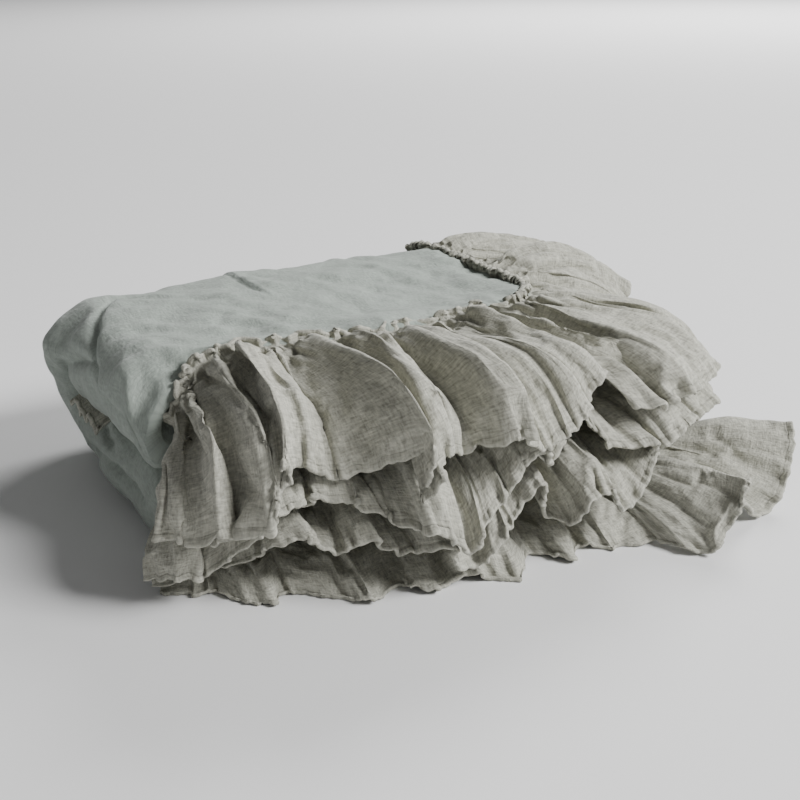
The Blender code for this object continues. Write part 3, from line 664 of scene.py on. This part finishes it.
def heading_points(at, seam, seed, full):
    """the gathered edge above the seam, rolled and lying on the panel: loose curls along the front,
    close beads along the side; rows run up from the panel, round the roll and down to the seam"""
    along = unit(np.gradient(seam, axis=0))
    up_z = np.array([0.0, 0.0, 1.0])
    out = unit(np.cross(along * np.array([1.0, 1.0, 0.0]), up_z))
    # back lies along the panel, and points up more at the left end; off stands off the cloth
    end = smooth(-at / 0.03)[:, None]
    back = unit(up_z * (0.40 * end - 0.25) - out * 0.90)
    off = unit(np.cross(back, along))
    off = off * np.sign(np.sum(off * (up_z + 0.5 * out), axis=1, keepdims=True))
    # 0 along the front and 1 along the side, and the count of curls and beads on the way
    side = smooth((at - BEADS_FROM) / BEADS_OVER)
    pace = CURL_PACE * (1 - side) + BEAD_PACE * side
    walk = np.r_[0, np.cumsum(np.diff(at) / (0.5 * (pace[1:] + pace[:-1])))]
    walk = walk + 0.60 * lattice(walk, 0 * walk, 1.7, 1.0, seed)
    loose = lattice(walk, 0 * walk, 0.8, 1.0, seed + 1)
    curl = np.sin(2 * math.pi * walk)
    bead = np.abs(np.sin(math.pi * walk)) ** 0.7
    # the middle of the rolled edge, back from the seam, off the cloth and along it; then its radius
    rope = np.sin(2 * math.pi * walk * 0.61 + 2.0 * loose)
    reach = ROLL_REACH + (0.0022 + 0.0008 * (1 - side)) * curl + 0.0012 * loose
    above = ROLL_HEIGHT + 0.0022 * bead * side + (1 - side) * (0.0010 + 0.0024 * rope)
    above = (above + 0.0030 * smooth(4 * loose - 1.6) * (1 - side)) * full
    sway = (0.0010 + 0.0008 * side) * np.sin(4 * math.pi * walk + 0.4) * full
    radius = ((0.0019 + 0.0006 * bead) * (1 - side) + (0.0013 + 0.0030 * bead) * side) * full
    middle = seam + back * reach[:, None] + off * above[:, None] + along * sway[:, None]
    travel = unit(np.gradient(middle, axis=0))
    up = unit(off - travel * np.sum(off * travel, axis=1, keepdims=True))
    across = np.cross(travel, up)
    across = across * np.sign(np.sum(across * back, axis=1, keepdims=True))
    lines = [seam + back * (reach - 0.002)[:, None] - off * 0.0085,
             seam + back * (reach + 0.0016)[:, None] - off * 0.0055]
    for turn in np.radians(np.linspace(-25, 235, 11)):
        r = radius * (1 + 0.24 * lattice(at, turn + 0 * at, 0.0026, 0.8, seed + 4))
        lines.append(middle + across * (r * np.cos(turn))[:, None] + up * (r * np.sin(turn))[:, None])
    last = lines[-1]
    for share in (0.66, 0.33):
        lines.append(seam + (last - seam) * share)
    return np.stack(lines, 1)


def nearby(values, spread, of_them):
    """for each cell, the largest or the mean of the values within a spread of cells"""
    for axis in (0, 1):
        pad = [(spread, spread) if k == axis else (0, 0) for k in (0, 1)]
        ends = np.pad(values, pad, mode="edge")
        windows = np.lib.stride_tricks.sliding_window_view(ends, 2 * spread + 1, axis=axis)
        values = of_them(windows, axis=-1)
    return values


def clear_of(points, lower):
    """lifts a tier off the one it lies on, seen from the middle of the pile"""
    if lower is None:
        return points
    # how far the lower tier reaches, in cells along the sides and in steps of tilt from upright
    cell, tilt, first, cells, tilts = 0.004, math.radians(2.0), 0.2, 260, 60
    at, out, z = unplace(lower)
    turn, reach = np.arctan2(out + CORNER, z), np.hypot(out + CORNER, z)
    i, j = np.round((at + first) / cell).astype(int), np.round(turn / tilt).astype(int)
    field = np.zeros((cells, tilts))
    np.maximum.at(field, (i.ravel().clip(0, cells - 1), j.ravel().clip(0, tilts - 1)), reach.ravel())
    for axis in (0, 1):
        wide = field.copy()
        for shift in (-1, 1):
            wide = np.maximum(wide, np.roll(field, shift, axis))
        field = wide
    at, out, z = unplace(points)
    turn, reach = np.arctan2(out + CORNER, z), np.hypot(out + CORNER, z)
    fi, fj = (at + first) / cell, turn / tilt
    i, j = np.floor(fi).astype(int).clip(0, cells - 2), np.floor(fj).astype(int).clip(0, tilts - 2)
    ti, tj = np.clip(fi - i, 0, 1), np.clip(fj - j, 0, 1)
    least = ((field[i, j] * (1 - ti) + field[i + 1, j] * ti) * (1 - tj)
             + (field[i, j + 1] * (1 - ti) + field[i + 1, j + 1] * ti) * tj) + FLOAT
    need = np.maximum(least - reach, 0) * (least > 0.03)
    for spread in (6, 10):
        need = nearby(nearby(need, spread, np.max), spread, np.mean)
    moved = reach + need * smooth(np.linspace(0, 1, need.shape[1]) / 0.08)
    return place(at, moved * np.sin(turn) - CORNER, moved * np.cos(turn))


def hemmed(points, down, main, hem):
    """cloth with the main rows and then the hem's, each at a share of the way down and raised a little"""
    hem = np.array(hem)
    rows, raised = np.r_[main, hem[:, 0]], np.r_[0 * main, hem[:, 1]]
    n = normals(points)
    k = np.clip(np.searchsorted(down, rows) - 1, 0, len(down) - 2)
    f = ((rows - down[k]) / (down[k + 1] - down[k]))[None, :, None]
    grid = points[:, k] * (1 - f) + points[:, k + 1] * f
    return rows, grid + (n[:, k] * (1 - f) + n[:, k + 1] * f) * raised[None, :, None]


def flounce(tier, lower, material, count, rows_down, seed):
    """one tier: its cloth, made loose and lifted off the tier below, with its heading and its hem"""
    coarse = COARSE[tier]
    at, points = tier_points(tier, *coarse, seed)
    short = tier_points(tier, *coarse, seed, 1 / (1 + GROW[tier]))[1]
    hold = np.where(np.arange(coarse[1]) < 2, 1.0, HOLD)[None, :]
    points = simulate(f"loose_{tier}", short, points, hold, GROW[tier])
    at = np.interp(np.linspace(0, 1, count), np.linspace(0, 1, coarse[0]), at)
    points = resample(resample(points, count, 0), rows_down, 1)
    s, points = crinkled(at, points, seed)
    points = clear_of(points, lower)
    points[..., 2] = np.maximum(points[..., 2], FLOOR_GAP)
    heading = heading_points(at, points[:, 0], seed + 9, 1.0 if tier == 1 else 0.45)
    # the hem, a share of the way down and a height off the cloth: its outer face, then its back
    down = np.linspace(0, 1, rows_down)
    turned = 1 - HEM / DEPTH
    middle = 0.5 * (1 + turned)
    hem = [(turned, 0.0), (turned + 0.003, 0.0012), (turned + 0.012, 0.0018), (middle, 0.0019),
           (0.990, 0.0018), (0.998, 0.0012), (1.0, 0.0),
           (0.996, -0.0010), (0.988, -0.0014), (middle, -0.0013), (turned, -0.0002)]
    rows, cloth = hemmed(points, down, down[down < turned - 0.004], hem)
    grid = np.concatenate([heading, cloth], 1)
    above = heading.shape[1]
    v = np.r_[-ABOVE_HEADING * HEADING * (1 - np.arange(above) / above), rows * DEPTH]
    uv = np.stack(np.broadcast_arrays(s[:, None], v[None, :]), -1).reshape(-1, 2)
    faces = grid_faces(*grid.shape[:2])
    obj = mesh_object(f"flounce_cloth_{tier}", grid.reshape(-1, 3), faces, uv, material)
    run = float(np.mean(steps(points[:, rows_down // 2:], 0)[-1]))
    return obj, points, run


def tucked_end(material, count=220, rows_down=26):
    """the bit of gathered flounce that shows between the two left folds"""
    low, high = (np.array(corner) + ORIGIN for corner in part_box("flounce_end"))
    t = np.linspace(0, 1, count)
    down = np.linspace(0, 1, rows_down)[None, :]
    at = t * (high[1] - low[1])
    edge_at = 0.90
    wave = gathers(at, END_WAVE[0], 903)[:, None]
    small = gathers(at, END_SMALL[0], 904)[:, None]
    edge = lattice(at, 0 * at, 0.018, 1.0, 905)[:, None]
    x = high[0] - 0.004 - (high[0] - low[0]) * down * (0.86 + 0.12 * edge)
    y = low[1] + at[:, None] + END_SWAY * np.roll(wave, 3, 0) * down
    bumps = END_WAVE[1] * wave * down ** 0.6 + END_SMALL[1] * small
    z = 0.5 * (low[2] + high[2]) + END_LIFT - END_DROOP * down ** 2 + bumps
    points = np.stack(np.broadcast_arrays(x, y, z), -1)
    hem = [(edge_at, 0.0), (0.905, 0.0009), (0.93, 0.0013), (0.98, 0.0012), (1.0, 0.0),
           (0.99, -0.0008), (0.93, -0.0009), (edge_at, -0.0002)]
    rows, grid = hemmed(points, down[0], down[0][down[0] < edge_at - 0.005], hem)
    s = steps(points[:, -1:], 0)[:, 0]
    uv = np.stack(np.broadcast_arrays(s[:, None], rows[None, :] * END_LENGTH), -1).reshape(-1, 2)
    faces = grid_faces(count, len(rows))
    obj = mesh_object("flounce_cloth_end", grid.reshape(-1, 3), faces, uv, material)
    return obj, float(np.mean(steps(points, 0)[-1])), float(np.mean(steps(grid, 1)[:, -1]))


# ---------------------------------------------------------------- the blanket
sage = linen("sage linen", color=(0.320, 0.359, 0.323), thread=0.0015, slub=0.55, mottle=0.34,
             crumple=0.0022, blotch=26.0)
natural = linen("natural linen", color=(0.402, 0.398, 0.340), thread=0.0016, slub=1.15, mottle=0.25,
                crumple=0.0022, blotch=30.0)

body = panel(sage)
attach(body, "root")
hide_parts("panel")

lower = None
for tier in (4, 3, 2, 1):
    piece, lower, run = flounce(tier, lower, natural, *DETAIL[tier], seed=20 * tier)
    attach(piece, "root")
    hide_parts(f"flounce_{tier}")

tuck, run, depth = tucked_end(natural)
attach(tuck, "root")
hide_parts("flounce_end")


# ---------------------------------------------------------------- floor, light and camera
def floor(material, reach=30.0):
    """a pale floor, wide enough to fill the view"""
    mesh = bpy.data.meshes.new("floor")
    corners = [(-reach, -reach, 0), (reach, -reach, 0), (reach, reach, 0), (-reach, reach, 0)]
    mesh.from_pydata(corners, [], [(0, 1, 2, 3)])
    mesh.materials.append(material)
    plane = bpy.data.objects.new("floor", mesh)
    bpy.context.scene.collection.objects.link(plane)


def paper():
    """the floor's pale matte material"""
    material = bpy.data.materials.new("paper")
    material.use_nodes = True
    shader = material.node_tree.nodes["Principled BSDF"]
    shader.inputs["Base Color"].default_value = (0.86, 0.86, 0.86, 1)
    shader.inputs["Roughness"].default_value = 0.9
    shader.inputs["Specular IOR Level"].default_value = 0.1
    return material


def light(name, place_at, aim, size, energy):
    """a round soft light"""
    lamp = bpy.data.lights.new(name, "AREA")
    lamp.shape, lamp.size = "DISK", size
    lamp.energy = energy
    obj = bpy.data.objects.new(name, lamp)
    obj.location = place_at
    obj.rotation_euler = (Vector(aim) - Vector(place_at)).to_track_quat("-Z", "Y").to_euler()
    bpy.context.scene.collection.objects.link(obj)


CAMERA_AZIMUTH, CAMERA_RISE, CAMERA_DISTANCE = -30.0, 22.0, 1.12
AIM = Vector((0.305, 0.130, 0.040)) - Vector(ORIGIN)
floor(paper())
light("key", (2.31, -2.48, 2.65), aim=(0.0, 0.0, 0.0), size=1.6, energy=275)
light("far", (6.5, 4.5, 5.0), aim=(4.5, 5.5, 0.0), size=5.0, energy=1000)
world = bpy.data.worlds.new("studio")
world.use_nodes = True
world.node_tree.nodes["Background"].inputs["Color"].default_value = (1, 1, 1, 1)
world.node_tree.nodes["Background"].inputs["Strength"].default_value = 0.17
bpy.context.scene.world = world

camera = bpy.data.cameras.new("camera")
camera.lens, camera.sensor_width = 50.4, 36.0
camera.clip_start, camera.clip_end = 0.05, 50.0
eye = bpy.data.objects.new("camera", camera)
azimuth, rise = math.radians(CAMERA_AZIMUTH), math.radians(CAMERA_RISE)
back = Vector((math.sin(azimuth) * math.cos(rise), -math.cos(azimuth) * math.cos(rise), math.sin(rise)))
eye.location = AIM + back * CAMERA_DISTANCE
eye.rotation_euler = (-back).to_track_quat("-Z", "Y").to_euler()
bpy.context.scene.collection.objects.link(eye)
bpy.context.scene.camera = eye
